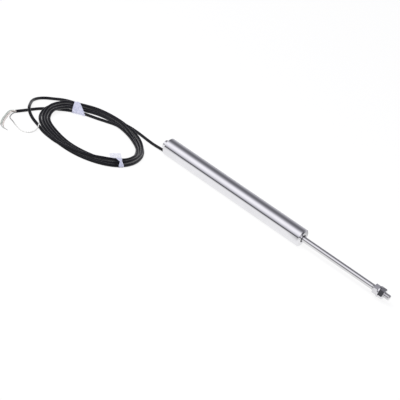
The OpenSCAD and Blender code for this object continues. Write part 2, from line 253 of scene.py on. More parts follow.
class Recipe(Nodes):
    """Builds one procedural material, node by node, on the object's own coordinates."""

    def __init__(self, name: str) -> None:
        """Starts a material with one principled surface.

        Args:
            name: Name of the material.
        """
        self.material = bpy.data.materials.new(name)
        self.material.use_nodes = True
        super().__init__(self.material.node_tree)
        self.surface = self.tree.nodes["Principled BSDF"]

    def set(self, socket: str, value: float | tuple[float, ...]) -> None:
        """Sets a constant on the surface's own socket."""
        self.surface.inputs[socket].default_value = value

    def feed(self, source: Socket, socket: str) -> None:
        """Joins a pattern to the surface's own socket."""
        self.link(source, self.surface.inputs[socket])

    def noise(self, scale: Point, detail: float, roughness: float = 0.5) -> Socket:
        """Adds a noise pattern.

        Args:
            scale: Repeats per metre along X, Y and Z.
            detail: Octaves of the noise.
            roughness: How strongly the finer octaves show.

        Returns:
            The socket with the noise, about 0 to 1.
        """
        coordinates, mapping, pattern = self.node("TexCoord"), self.node("Mapping"), self.node("TexNoise")
        mapping.inputs["Scale"].default_value = scale
        pattern.inputs["Scale"].default_value = 1.0
        pattern.inputs["Detail"].default_value = detail
        pattern.inputs["Roughness"].default_value = roughness
        self.link(coordinates.outputs["Object"], mapping.inputs["Vector"])
        self.link(mapping.outputs["Vector"], pattern.inputs["Vector"])
        return pattern.outputs["Fac"]

    def shaded(self, colour: Socket, share: Socket) -> Socket:
        """Darkens a colour.

        Args:
            colour: Colour to darken.
            share: Part of it that is left.

        Returns:
            The socket with the darker colour.
        """
        scaled = self.node("VectorMath")
        scaled.operation = "SCALE"
        self.link(colour, scaled.inputs[0])
        self.link(share, scaled.inputs["Scale"])
        return scaled.outputs[0]

    def ramp(self, factor: Socket, low: Point, high: Point, span: Pair) -> Socket:
        """Maps a pattern to a range of colours.

        Args:
            factor: Pattern to map.
            low: Colour below the span.
            high: Colour above the span.
            span: Pattern values between which the colour changes.

        Returns:
            The socket with the colour.
        """
        colours = self.node("ValToRGB")
        first, last = colours.color_ramp.elements
        first.position, last.position = span
        first.color = (*low, 1.0)
        last.color = (*high, 1.0)
        self.link(factor, colours.inputs["Fac"])
        return colours.outputs["Color"]

    def emboss(self, height: Socket, strength: float, depth: float) -> None:
        """Raises the surface a little with a pattern.

        Args:
            height: Pattern that gives the height.
            strength: How strongly it shows.
            depth: Height of the pattern in metres.
        """
        bump = self.node("Bump")
        bump.inputs["Strength"].default_value = strength
        bump.inputs["Distance"].default_value = depth
        self.link(height, bump.inputs["Height"])
        self.feed(bump.outputs["Normal"], "Normal")


@dataclass(frozen=True)
class TurnedMetal:
    """Metal that was turned and polished, with fine marks round its axis."""

    name: str
    colour: Point
    shade: Point
    roughness: Pair
    marks: float = 0.02

    def material(self) -> bpy.types.Material:
        """Builds the material.

        Returns:
            A metal whose fine rings run round X and whose tone drifts slowly.
        """
        recipe = Recipe(self.name)
        recipe.set("Metallic", 1.0)
        rings = recipe.noise((9000.0, 40.0, 40.0), 3.0, 0.6)
        drift = recipe.noise((60.0, 60.0, 60.0), 2.0)
        recipe.feed(recipe.ramp(drift, self.shade, self.colour, (0.35, 0.6)), "Base Color")
        recipe.feed(recipe.spread(rings, *self.roughness), "Roughness")
        recipe.emboss(rings, self.marks, 0.00002)
        return recipe.material


@dataclass(frozen=True)
class Plastic:
    """Moulded or extruded plastic with a slightly uneven skin."""

    name: str
    colour: Point
    shade: Point
    roughness: Pair
    skin: Point = (900.0, 900.0, 900.0)
    relief: float = 0.15
    specular: float = 0.5
    # Span along X and share of tone left for painted shade that darkens the plastic towards low X.
    painted_shade_span: Pair | None = None
    painted_shade_tone: float = 0.42

    def material(self) -> bpy.types.Material:
        """Builds the material.

        Returns:
            A plastic with drifting tone, uneven gloss and a fine skin, darkened with painted shade up to a place
            along X where a span for that painted shade is given.
        """
        recipe = Recipe(self.name)
        recipe.set("Specular IOR Level", self.specular)
        skin = recipe.noise(self.skin, 3.0, 0.6)
        drift = recipe.noise((110.0, 110.0, 110.0), 3.0)
        tone = recipe.ramp(drift, self.shade, self.colour, (0.3, 0.7))
        # Painted shade: the tone darkens towards low X, down to the given share.
        if self.painted_shade_span:
            left = recipe.spread(recipe.parts()["X"], self.painted_shade_tone, 1.0, self.painted_shade_span)
            tone = recipe.shaded(tone, left)
        recipe.feed(tone, "Base Color")
        recipe.feed(recipe.spread(drift, *self.roughness), "Roughness")
        recipe.emboss(skin, self.relief, 0.00005)
        return recipe.material


@dataclass(frozen=True)
class TapeFilm:
    """Milky adhesive tape that lets a little of what it covers show."""

    name: str
    colour: Point
    shade: Point
    cover: Pair
    single: float = 0.32
    single_height: Pair = (0.0008, 0.0024)

    def material(self) -> bpy.types.Material:
        """Builds the material.

        Returns:
            A film of many layers on the cable and of few layers down at the floor.
        """
        recipe = Recipe(self.name)
        recipe.set("Specular IOR Level", 0.4)
        recipe.set("Roughness", 0.32)
        patches = recipe.noise((420.0, 420.0, 420.0), 3.0)
        recipe.feed(recipe.ramp(patches, self.shade, self.colour, (0.35, 0.62)), "Base Color")
        layers = recipe.spread(recipe.parts()["Z"], self.single, 1.0, self.single_height)
        recipe.feed(recipe.reckon("MULTIPLY", recipe.spread(patches, *self.cover), layers), "Alpha")
        recipe.emboss(patches, 0.3, 0.0002)
        return recipe.material


FINISHES = {finish.name: finish for finish in (
    TurnedMetal("polished_steel", (0.79, 0.787, 0.81), (0.76, 0.757, 0.78), (0.03, 0.07)),
    TurnedMetal("rod_steel", (0.72, 0.717, 0.728), (0.68, 0.677, 0.688), (0.03, 0.07)),
    TurnedMetal("nut_steel", (0.74, 0.737, 0.76), (0.65, 0.647, 0.67), (0.05, 0.10)),
    TurnedMetal("spring_steel", (0.30, 0.30, 0.32), (0.22, 0.22, 0.24), (0.25, 0.40)),
    TurnedMetal("liner_steel", (0.66, 0.66, 0.67), (0.58, 0.58, 0.59), (0.20, 0.35)),
    TurnedMetal("shield_alloy", (0.55, 0.56, 0.58), (0.46, 0.47, 0.49), (0.25, 0.40)),
    TurnedMetal("core_alloy", (0.45, 0.46, 0.48), (0.38, 0.39, 0.41), (0.20, 0.35)),
    TurnedMetal("winding_copper", (0.62, 0.27, 0.12), (0.48, 0.19, 0.08), (0.25, 0.45), 0.6),
    TurnedMetal("pin_brass", (0.80, 0.62, 0.28), (0.68, 0.50, 0.20), (0.15, 0.30)),
    TurnedMetal("tinned_copper", (0.86, 0.85, 0.82), (0.76, 0.75, 0.71), (0.25, 0.40)),
    Plastic("bush_polymer", (0.05, 0.05, 0.055), (0.035, 0.035, 0.04), (0.35, 0.50)),
    Plastic("guide_polymer", (0.84, 0.84, 0.82), (0.76, 0.76, 0.74), (0.40, 0.55)),
    Plastic("bobbin_polymer", (0.80, 0.76, 0.66), (0.70, 0.66, 0.56), (0.40, 0.55)),
    Plastic("terminal_board", (0.06, 0.24, 0.13), (0.04, 0.17, 0.09), (0.30, 0.45)),
    Plastic("wrap_tape", (0.72, 0.45, 0.09), (0.58, 0.34, 0.06), (0.20, 0.35)),
    Plastic("seal_rubber", (0.020, 0.020, 0.020), (0.014, 0.014, 0.014), (0.50, 0.70)),
    Plastic("cable_sheath", (0.005, 0.005, 0.008), (0.003, 0.003, 0.005), (0.26, 0.38), specular=0.31),
    Plastic(
        "white_insulation", (0.84, 0.84, 0.81), (0.76, 0.76, 0.73), (0.35, 0.50),
        # painted shade darkens the wire near the cable's end
        painted_shade_span=(REAR_FACE_X - 0.102, REAR_FACE_X - 0.087),
    ),
    Plastic("grey_insulation", (0.50, 0.50, 0.48), (0.43, 0.43, 0.41), (0.35, 0.50)),
    Plastic("green_insulation", (0.56, 0.62, 0.56), (0.48, 0.54, 0.48), (0.35, 0.50)),
    Plastic("red_insulation", (0.84, 0.76, 0.71), (0.77, 0.69, 0.64), (0.35, 0.50)),
    TapeFilm("clear_tape", (0.79, 0.80, 0.94), (0.66, 0.68, 0.85), (0.76, 0.94)),
)}


class Wardrobe:
    """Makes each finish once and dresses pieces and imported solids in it."""

    def __init__(self) -> None:
        """Starts with no material made."""
        self.made: dict[str, bpy.types.Material] = {}

    def material(self, slot: str) -> bpy.types.Material:
        """Gives the material of a slot.

        Args:
            slot: Name of the finish.

        Returns:
            The material, made on first use.
        """
        if slot not in self.made:
            self.made[slot] = FINISHES[slot].material()
        return self.made[slot]

    def dress(self, piece: bpy.types.Object, slot: str) -> None:
        """Gives a piece the finish of one slot all over."""
        piece.data.materials.clear()
        piece.data.materials.append(self.material(slot))

    def dress_solids(self) -> None:
        """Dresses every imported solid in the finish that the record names."""
        for row in frame["record"]["subparts"]:
            self.dress(frame["nodes"][row["node"]], row["material_slot"])


class Lane(Enum):
    """Places of a strand in the section of the coil's bundle."""

    OUTER = "outer"
    MIDDLE = "middle"
    INNER = "inner"
    CREST = "crest"
    TOP_OUTER = "top outer"
    TOP_INNER = "top inner"
    SHOULDER = "shoulder"
    BESIDE = "beside"
    OVER = "over"


WINDING = (
    (100.0, Lane.OUTER), (395.0, Lane.OUTER), (490.0, Lane.MIDDLE), (765.0, Lane.MIDDLE), (845.0, Lane.INNER),
    (1140.0, Lane.INNER), (1180.0, Lane.CREST), (1215.0, Lane.TOP_OUTER), (1535.0, Lane.TOP_OUTER),
    (1588.0, Lane.SHOULDER), (1600.0, Lane.SHOULDER), (1685.0, Lane.BESIDE), (1698.0, Lane.BESIDE),
    (1735.0, Lane.OVER), (1775.0, Lane.TOP_INNER), (1860.0, Lane.TOP_INNER),
)


@dataclass
class Coil:
    """Turns of the cable on the floor, wound anticlockwise seen from above.

    The bundle's inner and outer strands follow slow waves, and the other strands lie in the valleys between them.
    """

    centre: Pair = (-52.0, -63.0)
    spacing: float = 3.1
    floor: float = 1.65
    inner_wave: tuple[float, ...] = (48.44, -0.96, 4.73, 2.1, -2.07, 0.77, -0.78, -0.06, 0.43, 0.18, -0.67)
    outer_wave: tuple[float, ...] = (56.54, -0.87, 1.47, 0.54, -2.09, 0.69, -0.69, -0.7, 0.65, 0.06, -0.42)
    lead_turn: float = 112.0
    loop_leaves: float = 1586.0
    loop_returns: float = 1698.0
    last_turn: float = 1815.0
    step: float = 9.0
    ease: float = 12.0
    # Height of a strand in the valley between two others, and how far strands lean or lie clear of those below.
    nest: float = 0.87
    middle_lean: float = 0.36
    outer_lean: float = 0.3
    crest_clear: float = 0.3
    over_clear: float = 0.2
    inner_clear: float = 0.8
    wide_half: Pair = (3.2, 4.6)
    # The tail runs under the bundle and lifts it between these angles.
    tail_lift: float = 3.3
    lift_rises: Pair = (138.0, 168.0)
    lift_falls: Pair = (188.0, 214.0)
    # Size, rate and start of the small waves that keep the strands from lying dead even.
    wander: tuple[Point, ...] = ((0.05, 0.73, 0.0), (0.04, 1.37, 40.0))

    @staticmethod
    def wave(terms: tuple[float, ...], turn: float) -> float:
        """Sums a slow wave round the coil.

        Args:
            terms: Mean, then the cosine and sine shares of one, two and more waves a turn.
            turn: Angle in degrees.

        Returns:
            The wave's value at that angle.
        """
        angle = math.radians(turn)
        total = terms[0]
        for count, (cosine, sine) in enumerate(zip(terms[1::2], terms[2::2]), start=1):
            total += cosine * math.cos(count * angle) + sine * math.sin(count * angle)
        return total

    def lift(self, turn: float) -> float:
        """Height that the tail under the bundle lifts it by, at an angle in degrees."""
        angle = turn % 360
        return self.tail_lift * smooth_step(*self.lift_rises, angle) * (1 - smooth_step(*self.lift_falls, angle))

    def lane(self, lane: Lane, half: float) -> Pair:
        """Gives the place of a lane where the bundle has a certain width.

        Args:
            lane: Lane to look up.
            half: Half of the distance between the inner and the outer strand.

        Returns:
            Distance outwards from the bundle's middle and height above the lowest strands.
        """
        width = self.spacing
        nest = self.nest * width
        spare = max(0.0, half - width)
        rise = math.sqrt(max(0.0, width ** 2 - half ** 2))
        sunk = math.sqrt(max(0.0, width ** 2 - (width / 2 + spare) ** 2))
        clear = self.inner_clear * smooth_step(*self.wide_half, half)
        places = {
            Lane.OUTER: (half, 0.0),
            Lane.MIDDLE: (-min(spare, self.middle_lean * half), rise),
            Lane.INNER: (-half, 0.0),
            Lane.CREST: (-half / 4, rise + nest + self.crest_clear),
            Lane.TOP_OUTER: (max(width / 2, self.outer_lean * half), rise + sunk),
            Lane.TOP_INNER: (-width / 2 - spare, rise + nest + clear),
            Lane.SHOULDER: (half + width / 2, nest),
            Lane.BESIDE: (half + width, 0.0),
            Lane.OVER: (width / 2 + spare, rise + nest + self.over_clear),
        }
        return places[lane]

    def offset(self, turn: float) -> Pair:
        """Finds the strand within the bundle's section.

        Args:
            turn: Angle in degrees, counted on through the turns.

        Returns:
            Distance outwards from the bundle's middle and height above the lowest strands.
        """
        half = (self.wave(self.outer_wave, turn) - self.wave(self.inner_wave, turn)) / 2
        start, lane = WINDING[0]
        for end, next_lane in WINDING[1:]:
            if turn <= end:
                break
            start, lane = end, next_lane
        share = smooth_step(start, end, turn)
        out, up = self.lane(lane, half)
        next_out, next_up = self.lane(next_lane, half)
        return (out + (next_out - out) * share, up + (next_up - up) * share)

    def spot(self, turn: float) -> Pair:
        """Finds the strand at an angle of the winding, eased as a stiff cable lies.

        Args:
            turn: Angle in degrees, counted on through the turns.

        Returns:
            Distance from the coil's centre and height above the floor.
        """
        middle = (self.wave(self.inner_wave, turn) + self.wave(self.outer_wave, turn)) / 2
        near = [self.offset(turn + share * self.ease) for share in (-1.0, -0.5, 0.0, 0.5, 1.0)]
        out, up = (sum(values) / len(near) for values in zip(*near))
        wander = sum(size * math.sin(math.radians(turn * rate + start)) for size, rate, start in self.wander)
        return (middle + out + wander, self.floor + up + self.lift(turn))

    def place(self, turn: float, reach: float, height: float) -> Point:
        """Turns an angle, a distance from the centre and a height into a point in millimetres from the rear face."""
        angle = math.radians(turn)
        return (self.centre[0] + reach * math.cos(angle), self.centre[1] + reach * math.sin(angle), height)

    def strand(self, start: float, end: float) -> list[Point]:
        """Lists the cable's points between two angles of the winding.

        Args:
            start: First angle in degrees.
            end: Last angle in degrees.

        Returns:
            Points in millimetres from the rear face.
        """
        count = round((end - start) / self.step)
        turns = [start + (end - start) * i / count for i in range(count + 1)]
        return [self.place(turn, *self.spot(turn)) for turn in turns]

    def crossing(self, angle: float) -> list[Pair]:
        """Lists the strands that pass an angle.

        Args:
            angle: Angle in degrees, within one turn.

        Returns:
            Distance from the centre and height of each strand.
        """
        turns = [angle + 360 * count for count in range(math.ceil(self.last_turn / 360))]
        wound = [turn for turn in turns if self.lead_turn <= turn <= self.loop_leaves]
        rewound = [turn for turn in turns if self.loop_returns <= turn <= self.last_turn]
        return [self.spot(turn) for turn in wound + rewound]


@dataclass
class Cable:
    """The sensor's own cable, from the rear cap through its coil and loose loop to the bared end."""

    diameter: float = 3.2
    coil: Coil = field(default_factory=Coil)
    inside: tuple[float, ...] = (16.0, 8.0, 0.0)
    offset: float = 6.6
    exit_turn: float = 20.0
    lead: tuple[Point, ...] = (
        (-8, -2, 2.7), (-16, -1.2, 1.9), (-24, -0.4, 1.65), (-33, 0.5, 1.65), (-42, 1.2, 1.65),
        (-51, 0.8, 1.65), (-60, -1.6, 1.65), (-67.5, -4.8, 1.65),
    )
    loop: tuple[Point, ...] = (
        (-114, -42, 5.4), (-122, -48, 3), (-128, -57, 1.8), (-129.3, -68, 1.65),
        (-126.8, -77.5, 2), (-122, -85.5, 3), (-116.5, -93.5, 4.5), (-111.5, -99.8, 5.1), (-105, -104.8, 4),
        (-97, -108, 2.3), (-89, -110.4, 1.7), (-82, -113, 1.65), (-74, -116, 1.65),
    )
    tail: tuple[Point, ...] = (
        (-10.5, -38.6, 4.6), (-15.5, -33.8, 4.35), (-20.9, -29.5, 4), (-30.2, -23.4, 3.5), (-38.1, -19.4, 3.2),
        (-44.8, -16.9, 3), (-50.4, -15.4, 2.85), (-55.3, -14.6, 2.65), (-59.9, -14.8, 2.3), (-63.8, -16, 1.9),
        (-67.2, -18.2, 1.7), (-71, -21, 1.65), (-77.5, -26.2, 1.65), (-84.3, -30.9, 1.65), (-90, -35.2, 1.65),
        (-95, -40.4, 1.65), (-99.8, -47.8, 1.65), (-104.5, -58, 1.65), (-108.5, -69, 1.65), (-110.5, -76, 1.65),
        (-112, -84, 1.65), (-112.8, -92, 1.65), (-113.3, -100, 1.65), (-113.9, -108, 1.65), (-114.5, -115.6, 1.65),
    )

    def exit_height(self) -> float:
        """Height of the cable hole above the floor, in millimetres."""
        return AXIS_Z / MM - self.offset * math.cos(math.radians(self.exit_turn))

    def exit_side(self) -> float:
        """Distance of the cable hole across the axis, in millimetres."""
        return -self.offset * math.sin(math.radians(self.exit_turn))

    def route(self) -> list[Vector]:
        """Lays the cable's whole way.

        Returns:
            Points of its centreline in the model's frame.
        """
        coil = self.coil
        inside = [(station, self.exit_side(), self.exit_height()) for station in self.inside]
        wound = coil.strand(coil.lead_turn, coil.loop_leaves)
        rewound = coil.strand(coil.loop_returns, coil.last_turn)
        points = [*inside, *self.lead, *wound, *self.loop, *rewound, *self.tail]
        return [from_rear(point) for point in points]

    def build(self, wardrobe: Wardrobe, ties: list[bpy.types.Object]) -> bpy.types.Object:
        """Args:
            wardrobe: Finishes to dress it in.
            ties: Pieces that hold its coil together; not used.

        Returns:
            The cable's curve.
        """
        route = self.route()
        piece = Bench.curve("sensor_cable", route, self.diameter * MM, 5)
        wardrobe.dress(piece, "cable_sheath")
        piece.visible_glossy = False
        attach(piece, Body.HOUSING.value)
        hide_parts("cable_lead", "cable_coil", "cable_loop", "cable_tail")
        return piece


@dataclass
class TapeTie:
    """Piece of tape round the coil, its ends stuck together as a flag inside the coil."""

    name: str
    node: str
    turn: float
    widths: tuple[float, float, float]
    waist: Pair
    flag: tuple[Pair, ...]
    drape: float = 1.0
    others: tuple[Pair, ...] = ()
    coil: Coil = field(default_factory=Coil)
    cable_radius: float = 1.6
    gap: float = 0.12
    thickness: float = 0.12
    lowest: float = 0.2
    crease: float = 0.1
    flag_height: float = 0.35
    flag_ripple: float = 0.2
    flag_lift: float = 0.25
    flag_columns: int = 12
    columns: int = 56
    rows: int = 10
    round_dots: int = 20
    wrapped_turns: Point = (-4.0, 0.0, 4.0)

    def outline(self) -> list[Pair]:
        """Wraps a closed line round the strands.

        Returns:
            Points of the line, as distance from the coil's centre and height, anticlockwise and evenly spaced.
        """
        reach = self.cable_radius + self.gap + self.thickness
        angles = [math.tau * k / self.round_dots for k in range(self.round_dots)]
        passing = [spot for turn in self.wrapped_turns for spot in self.coil.crossing(self.turn % 360 + turn)]
        dots = sorted(
            (out + reach * math.cos(angle), max(self.lowest, height + reach * math.sin(angle)))
            for out, height in [*passing, *self.others]
            for angle in angles
        )

        def half(row: list[Pair]) -> list[Pair]:
            """Keeps the points of one side of the hull."""
            side: list[Pair] = []
            for dot in row:
                while len(side) > 1 and self.turns_right(side[-2], side[-1], dot):
                    side.pop()
                side.append(dot)
            return side[:-1]

        return self.even(half(dots) + half(dots[::-1]))

    @staticmethod
    def turns_right(a: Pair, b: Pair, c: Pair) -> bool:
        """Tells whether the way from a through b to c doesn't turn left."""
        return (b[0] - a[0]) * (c[1] - a[1]) - (b[1] - a[1]) * (c[0] - a[0]) <= 0

    def even(self, line: list[Pair]) -> list[Pair]:
        """Spaces the points of a closed line evenly.

        Args:
            line: Corners of the line.

        Returns:
            One point for each column of the tape.
        """
        closed = [*line, line[0]]
        marks = [0.0]
        for a, b in zip(closed, closed[1:]):
            marks.append(marks[-1] + math.dist(a, b))
        spaced = []
        for column in range(self.columns):
            mark = marks[-1] * column / self.columns
            index = max(i for i, start in enumerate(marks[:-1]) if start <= mark)
            share = (mark - marks[index]) / (marks[index + 1] - marks[index])
            a, b = closed[index], closed[index + 1]
            spaced.append((a[0] + (b[0] - a[0]) * share, a[1] + (b[1] - a[1]) * share))
        return spaced

    def width_at(self, share: float) -> float:
        """Width of the tape in millimetres, at a share of its way from its outer to its inner side."""
        outer, waist, inner = self.widths
        narrow = outer + (waist - outer) * smooth_step(0.0, self.waist[0], share)
        return narrow + (inner - waist) * smooth_step(*self.waist, share)

    def grid(self, name: str, columns: int) -> bpy.types.Object:
        """Adds a flat grid of unit size to lay as tape.

        Args:
            name: Name of the piece.
            columns: Number of faces along the tape.

        Returns:
            The grid.
        """
        Bench.clear_selection()
        bpy.ops.mesh.primitive_grid_add(
            x_subdivisions=columns, y_subdivisions=self.rows, size=1.0, location=(0, 0, 0),
        )
        return Bench.take(name)

    def wrap(self) -> bpy.types.Object:
        """Lays the tape round the strands, a little creased.

        Returns:
            The band.
        """
        line = self.outline()
        low, high = min(out for out, _ in line), max(out for out, _ in line)
        band = self.grid(self.name, self.columns)
        for vertex in band.data.vertices:
            column = round((vertex.co.x + 0.5) * self.columns) % self.columns
            across = vertex.co.y
            out, height = line[column]
            width = self.width_at((high - out) / (high - low))
            crease = self.crease * math.sin(column * 1.9 + across * 21) * math.sin(column * 0.7)
            turn = self.turn + math.degrees(across * width / out)
            vertex.co = from_rear(self.coil.place(turn, out + crease, max(self.lowest, height + crease)))
        with Bench.editing():
            bpy.ops.mesh.remove_doubles(threshold=0.00001)
            bpy.ops.mesh.normals_make_consistent(inside=False)
        return band

    def tail(self) -> bpy.types.Object:
        """Lays the flag of the two ends from the bundle to the floor inside the coil.

        Returns:
            The flag.
        """
        corners = [from_rear(self.coil.place(turn, reach, 0.0)) for turn, reach in self.flag]
        flag = self.grid(f"{self.name}_flag", self.flag_columns)
        for vertex in flag.data.vertices:
            share, across = vertex.co.x + 0.5, vertex.co.y + 0.5
            near, far = corners[0].lerp(corners[1], across), corners[2].lerp(corners[3], across)
            ripple = self.flag_ripple * math.sin(5 * share + 4 * across) + self.flag_lift
            height = self.flag_height + self.drape * (1 - smooth_step(0.0, 1.0, share)) + ripple * share
            vertex.co = near.lerp(far, share) + Vector((0.0, 0.0, height * MM))
        return flag

    def build(self, wardrobe: Wardrobe) -> bpy.types.Object:
        """Makes the tape.

        Args:
            wardrobe: Finishes to dress it in.

        Returns:
            The tape's mesh object.
        """
        band, flag = self.wrap(), self.tail()
        Bench.clear_selection()
        flag.select_set(True)
        band.select_set(True)
        bpy.context.view_layer.objects.active = band
        bpy.ops.object.join()
        film = band.modifiers.new("film", "SOLIDIFY")
        film.thickness = self.thickness * MM
        film.offset = 0.0
        Bench.apply_modifiers(band)
        bpy.ops.object.shade_smooth_by_angle(angle=math.radians(50))
        wardrobe.dress(band, "clear_tape")
        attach(band, Body.HOUSING.value)
        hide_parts(self.node)
        LOG.info("tape %s", self.name)
        return band


@dataclass
class Conductor:
    """One bared wire at the cable's free end, with its tinned tip."""

    name: str
    node: str
    slot: str
    route: tuple[Point, ...]
    diameter: float = 1.1
    tip_length: float = 4.0
    tip_diameter: float = 0.6
    tip_seat: float = 0.5
    tip_round: float = 0.12
    steepest: float = -0.02

    def tip(self, wardrobe: Wardrobe, points: list[Vector]) -> bpy.types.Object:
        """Makes the tinned end that the insulation leaves bare.

        Args:
            wardrobe: Finishes to dress it in.
            points: The wire's centreline.

        Returns:
            The tip's mesh object.
        """
        way = (points[-1] - points[-2]).normalized()
        way.z = max(way.z, self.steepest)
        Bench.clear_selection()
        bpy.ops.mesh.primitive_cylinder_add(
            vertices=12,
            radius=self.tip_diameter * MM / 2,
            depth=self.tip_length * MM,
            location=points[-1] + way * (self.tip_length / 2 - self.tip_seat) * MM,
            rotation=way.to_track_quat("Z", "Y").to_euler(),
        )
        piece = Bench.take(f"{self.name}_tip")
        Bench.settle(piece)
        edge = piece.modifiers.new("round", "BEVEL")
        edge.width = self.tip_round * MM
        edge.segments = 2
        Bench.apply_modifiers(piece)
        bpy.ops.object.shade_smooth_by_angle(angle=math.radians(40))
        wardrobe.dress(piece, "tinned_copper")
        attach(piece, Body.HOUSING.value)
        return piece

    def build(self, wardrobe: Wardrobe) -> bpy.types.Object:
        """Args:
            wardrobe: Finishes to dress it in.

        Returns:
            The wire's curve.
        """
        points = [from_rear(point) for point in self.route]
        piece = Bench.curve(self.name, points, self.diameter * MM, 3)
        wardrobe.dress(piece, self.slot)
        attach(piece, Body.HOUSING.value)
        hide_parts(self.node)
        self.tip(wardrobe, points)
        return piece


@dataclass
class PushRod:
    """The rod that carries the core, with a cut thread at its tip."""

    radius: float = 3.0
    tail_radius: float = 2.0
    thread_radius: float = 2.95
    thread_length: float = 20.0
    chamfer: float = 0.8
    core_end: float = 157.7
    pitch: float = 1.0
    thread_depth: float = 0.55
    # Half width of the groove at the thread's crest and at most, in pitches, and where the cutter starts and ends.
    groove_share: float = 0.42
    widest_groove: float = 0.48
    groove_start: float = 0.3
    cut_clear: float = 0.25
    sides: int = 64
    thread_steps: int = 32

    def shaft(self) -> bpy.types.Object:
        """Turns the rod from a bar: the shaft, the thinner tail and the tip.

        Returns:
            The rod's mesh object.
        """
        low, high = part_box("push_rod")
        start = REAR_FACE_X + self.core_end * MM
        thread_start = high[0] - self.thread_length * MM
        Bench.clear_selection()
        bpy.ops.mesh.primitive_cylinder_add(
            vertices=self.sides,
            radius=self.radius * MM,
            depth=thread_start - start,
            location=((start + thread_start) / 2, 0, AXIS_Z),
            rotation=(0, math.pi / 2, 0),
        )
        rod = Bench.take("threaded_push_rod")
        Bench.settle(rod)
        tip_radius = self.thread_radius - self.chamfer
        self.step(rod, 1, self.thread_radius / self.radius, self.thread_length - self.chamfer)
        self.step(rod, 1, 1.0, self.chamfer, tip_radius / self.thread_radius)
        self.step(rod, -1, self.tail_radius / self.radius, (start - low[0]) / MM)
        bpy.ops.object.mode_set(mode="OBJECT")
        return rod

    def step(self, rod: bpy.types.Object, direction: float, inset: float, length: float, taper: float = 1.0) -> None:
        """Draws one more stretch out of an end of the rod.

        Args:
            rod: The rod so far.
            direction: 1 for the end towards +X, -1 for the other.
            inset: Size of the new stretch against the end it grows from.
            length: Length of the stretch in millimetres.
            taper: Size of its far end against its near end.
        """
        Bench.select_end(rod, direction)
        if inset != 1.0:
            bpy.ops.mesh.extrude_region_move(TRANSFORM_OT_translate={"value": (0, 0, 0)})
            self.shrink(rod, direction, inset)
        bpy.ops.mesh.extrude_region_move(TRANSFORM_OT_translate={"value": (direction * length * MM, 0, 0)})
        if taper != 1.0:
            self.shrink(rod, direction, taper)

    @staticmethod
    def shrink(rod: bpy.types.Object, direction: float, size: float) -> None:
        """Scales the selected end of the rod, the one towards +X or -X, about the rod's axis."""
        end = max(vertex.co.x * direction for vertex in rod.data.vertices) * direction
        bpy.ops.transform.resize(value=(1, size, size), center_override=(end, 0, AXIS_Z))

    def cutter(self) -> bpy.types.Object:
        """Winds the groove of the thread as a solid to cut with.

        Returns:
            The cutter's mesh object.
        """
        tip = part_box("push_rod")[1][0]
        start = tip - self.thread_length * MM
        outside = self.thread_radius + self.cut_clear
        root = self.thread_radius - self.thread_depth
        open_half = self.groove_share * self.pitch * (outside - root) / self.thread_depth
        half = min(open_half, self.widest_groove * self.pitch)
        Bench.clear_selection()
        bpy.ops.mesh.primitive_circle_add(vertices=3, radius=1.0, fill_type="NGON", location=(0, 0, 0))
        tool = Bench.take("thread_tool")
        corners = ((0.0, root), (half, outside), (-half, outside))
        for vertex, (along, reach) in zip(tool.data.vertices, corners):
            vertex.co = (along * MM, 0.0, reach * MM)
        with Bench.editing():
            bpy.ops.mesh.delete(type="ONLY_FACE")
        wind = tool.modifiers.new("wind", "SCREW")
        wind.axis = "X"
        wind.steps = wind.render_steps = self.thread_steps
        wind.screw_offset = self.pitch * MM
        wind.iterations = int(self.thread_length / self.pitch) + 1
        wind.use_merge_vertices = False
        Bench.apply_modifiers(tool)
        with Bench.editing():
            bpy.ops.mesh.fill_holes(sides=0)
            bpy.ops.mesh.normals_make_consistent(inside=False)
        tool.location = (start + self.groove_start * MM, 0, AXIS_Z)
        Bench.settle(tool)
        return tool

    def build(self, wardrobe: Wardrobe) -> bpy.types.Object:
        """Makes the rod with its thread.

        Args:
            wardrobe: Finishes to dress it in.

        Returns:
            The rod's mesh object.
        """
        rod = self.shaft()
        tool = self.cutter()
        cut = rod.modifiers.new("thread", "BOOLEAN")
        cut.operation = "DIFFERENCE"
        cut.solver = "EXACT"
        cut.object = tool
        Bench.clear_selection()
        rod.select_set(True)
        Bench.apply_modifiers(rod)
        bpy.data.objects.remove(tool, do_unlink=True)
        bpy.ops.object.shade_smooth_by_angle(angle=math.radians(25))
        wardrobe.dress(rod, "rod_steel")
        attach(rod, Body.ARMATURE.value)
        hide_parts("push_rod")
        LOG.info("push rod with %d faces", len(rod.data.polygons))
        return rod


